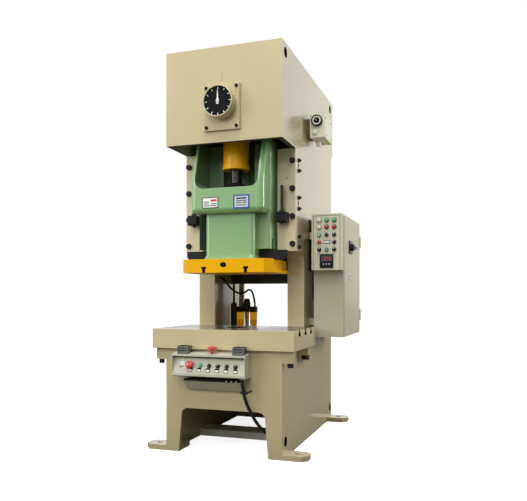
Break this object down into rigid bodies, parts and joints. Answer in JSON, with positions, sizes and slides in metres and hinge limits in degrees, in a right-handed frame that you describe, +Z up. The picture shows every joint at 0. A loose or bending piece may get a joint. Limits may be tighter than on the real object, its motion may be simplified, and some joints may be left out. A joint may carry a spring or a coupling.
{
  "type": "mechanical stamping press",
  "caption": "Open-back C-frame mechanical stamping press with crank-driven slide, geared flywheel drive, two-hand console and side control cabinet.",
  "frame": {"origin": "centre of the four foundation bolt holes, on the floor", "axes": "+Z up; +X to the right of someone facing the press; the front of the press faces -Y"},
  "size_m": [1.3025, 1.6324, 2.705],
  "materials": {
    "beige_paint": "satin",
    "green_paint": "satin",
    "orange_paint": "satin",
    "black_paint": "satin",
    "grey_paint": "satin",
    "machined_steel": "satin",
    "blackened_steel": "satin",
    "bronze": "satin",
    "cast_iron": "matte",
    "motor_paint": "satin",
    "belt_rubber": "matte",
    "black_plastic": "matte",
    "dark_dial": "matte",
    "white_pointer": "satin",
    "red_plastic": "gloss",
    "green_plastic": "gloss",
    "amber_bowl": "gloss",
    "galvanised": "satin"
  },
  "bodies": {
    "frame": {"frame_weldment": "beige_paint", "front_gib_right": "beige_paint", "front_gib_left": "beige_paint", "gib_bolts": "blackened_steel", "gib_adjusters": "blackened_steel", "gib_liners": "bronze", "bolster": "beige_paint", "bolster_bolts": "blackened_steel", "shaft_bearings": "bronze", "v_belts": "belt_rubber", "motor": "motor_paint", "knockout_brackets": "blackened_steel", "knockout_screws": "blackened_steel", "rear_top_cover": "beige_paint", "rear_guard": "beige_paint", "dial_plate": "beige_paint", "dial_housing": "grey_paint", "dial_face": "dark_dial", "gauge_box": "beige_paint", "pressure_gauge": "black_plastic", "air_pipe": "black_paint", "air_hose": "belt_rubber", "filter_regulator": "galvanised", "air_bowls": "amber_bowl", "console_shell": "grey_paint", "console_bracket": "grey_paint", "palm_guards": "galvanised", "conduit": "black_plastic", "cabinet_shell": "grey_paint", "operator_bezels": "galvanised", "panel_meter": "black_plastic"},
    "slide": {"slide": "green_paint", "ball_seat_ring": "blackened_steel", "ball_screw": "machined_steel", "connecting_rod": "orange_paint", "rod_cap": "orange_paint"},
    "knockout": {"knockout_bar": "black_paint"},
    "crank": {"crankshaft": "machined_steel", "bull_gear": "cast_iron", "dial_pointer": "white_pointer"},
    "pinion": {"pinion_shaft": "machined_steel", "clutch_hub": "cast_iron"},
    "flywheel": {"flywheel": "cast_iron"},
    "motor_rotor": {"motor_pulley": "cast_iron"},
    "door": {"cabinet_door": "grey_paint", "isolator_base": "black_plastic"},
    "isolator": {"isolator_handle": "black_plastic"},
    "regulator": {"regulator_knob": "black_plastic"},
    "palm_left": {"palm_button_left": "black_plastic"},
    "palm_right": {"palm_button_right": "black_plastic"},
    "estop": {"console_estop": "red_plastic"},
    "stop": {"console_stop": "red_plastic"},
    "start": {"console_start": "green_plastic"},
    "selector_1": {"console_selector_1": "black_plastic"},
    "selector_2": {"console_selector_2": "black_plastic"},
    "selector_3": {"console_selector_3": "black_plastic"},
    "selector_4": {"console_selector_4": "black_plastic"},
    "panel_start": {"operator_start": "green_plastic"},
    "panel_stop": {"operator_stop": "red_plastic"},
    "panel_key": {"key_switch": "machined_steel"}
  },
  "joints": [
    {"name": "slide_stroke", "type": "slide", "parent": "frame", "child": "slide", "axis": [0, 0, -1], "range_m": [0, 0.16]},
    {"name": "crank_turn", "type": "hinge", "parent": "frame", "child": "crank", "pos_m": [0, -0.46, 2.32], "axis": [0, 1, 0], "range_deg": [-1, 181]},
    {"name": "pinion_turn", "type": "hinge", "parent": "frame", "child": "pinion", "pos_m": [0, 0.183, 1.984], "axis": [0, 1, 0], "range_deg": [-905, 5]},
    {"name": "flywheel_spin", "type": "hinge", "parent": "frame", "child": "flywheel", "pos_m": [0, 0.595, 1.984], "axis": [0, 1, 0], "continuous": true},
    {"name": "motor_spin", "type": "hinge", "parent": "frame", "child": "motor_rotor", "pos_m": [0, 0.595, 1.53], "axis": [0, 1, 0], "continuous": true},
    {"name": "knockout_lift", "type": "slide", "parent": "slide", "child": "knockout", "axis": [0, 0, 1], "range_m": [0, 0.06]},
    {"name": "door_swing", "type": "hinge", "parent": "frame", "child": "door", "pos_m": [0.696, 0.546, 1.2], "axis": [0, 0, 1], "range_deg": [0, 110]},
    {"name": "isolator_turn", "type": "hinge", "parent": "door", "child": "isolator", "pos_m": [0.702, 0.129, 1.416], "axis": [1, 0, 0], "range_deg": [0, 90]},
    {"name": "regulator_turn", "type": "hinge", "parent": "frame", "child": "regulator", "pos_m": [0.489, -0.041, 2.18], "axis": [0, 0, 1], "range_deg": [-150, 150]},
    {"name": "palm_left_press", "type": "slide", "parent": "frame", "child": "palm_left", "axis": [0, 0, -1], "range_m": [0, 0.004], "stiffness_N_per_m": 600, "springref_m": -0.008},
    {"name": "palm_right_press", "type": "slide", "parent": "frame", "child": "palm_right", "axis": [0, 0, -1], "range_m": [0, 0.004], "stiffness_N_per_m": 600, "springref_m": -0.008},
    {"name": "estop_press", "type": "slide", "parent": "frame", "child": "estop", "axis": [0, 0, -1], "range_m": [0, 0.004]},
    {"name": "stop_press", "type": "slide", "parent": "frame", "child": "stop", "axis": [0, 0.9646, -0.2639], "range_m": [0, 0.004], "stiffness_N_per_m": 600, "springref_m": -0.004},
    {"name": "start_press", "type": "slide", "parent": "frame", "child": "start", "axis": [0, 0.9646, -0.2639], "range_m": [0, 0.004], "stiffness_N_per_m": 600, "springref_m": -0.004},
    {"name": "selector_1_turn", "type": "hinge", "parent": "frame", "child": "selector_1", "pos_m": [-0.058, -0.80213, 0.598], "axis": [0, -0.9646, 0.2639], "range_deg": [-45, 45]},
    {"name": "selector_2_turn", "type": "hinge", "parent": "frame", "child": "selector_2", "pos_m": [0.004, -0.80213, 0.598], "axis": [0, -0.9646, 0.2639], "range_deg": [-45, 45]},
    {"name": "selector_3_turn", "type": "hinge", "parent": "frame", "child": "selector_3", "pos_m": [0.065, -0.80213, 0.598], "axis": [0, -0.9646, 0.2639], "range_deg": [-45, 45]},
    {"name": "selector_4_turn", "type": "hinge", "parent": "frame", "child": "selector_4", "pos_m": [0.127, -0.80213, 0.598], "axis": [0, -0.9646, 0.2639], "range_deg": [-45, 45]},
    {"name": "panel_start_press", "type": "slide", "parent": "frame", "child": "panel_start", "axis": [0, 1, 0], "range_m": [0, 0.003], "stiffness_N_per_m": 600, "springref_m": -0.004},
    {"name": "panel_stop_press", "type": "slide", "parent": "frame", "child": "panel_stop", "axis": [0, 1, 0], "range_m": [0, 0.003], "stiffness_N_per_m": 600, "springref_m": -0.004},
    {"name": "panel_key_turn", "type": "hinge", "parent": "frame", "child": "panel_key", "pos_m": [0.582, -0.182, 1.488], "axis": [0, -1, 0], "range_deg": [0, 90]}
  ],
  "couplings": [
    {"joint": "crank_turn", "follows": "slide_stroke", "rad_per_m": 19.635},
    {"joint": "pinion_turn", "follows": "slide_stroke", "rad_per_m": -98.175},
    {"joint": "motor_spin", "follows": "flywheel_spin", "ratio": 5}
  ]
}
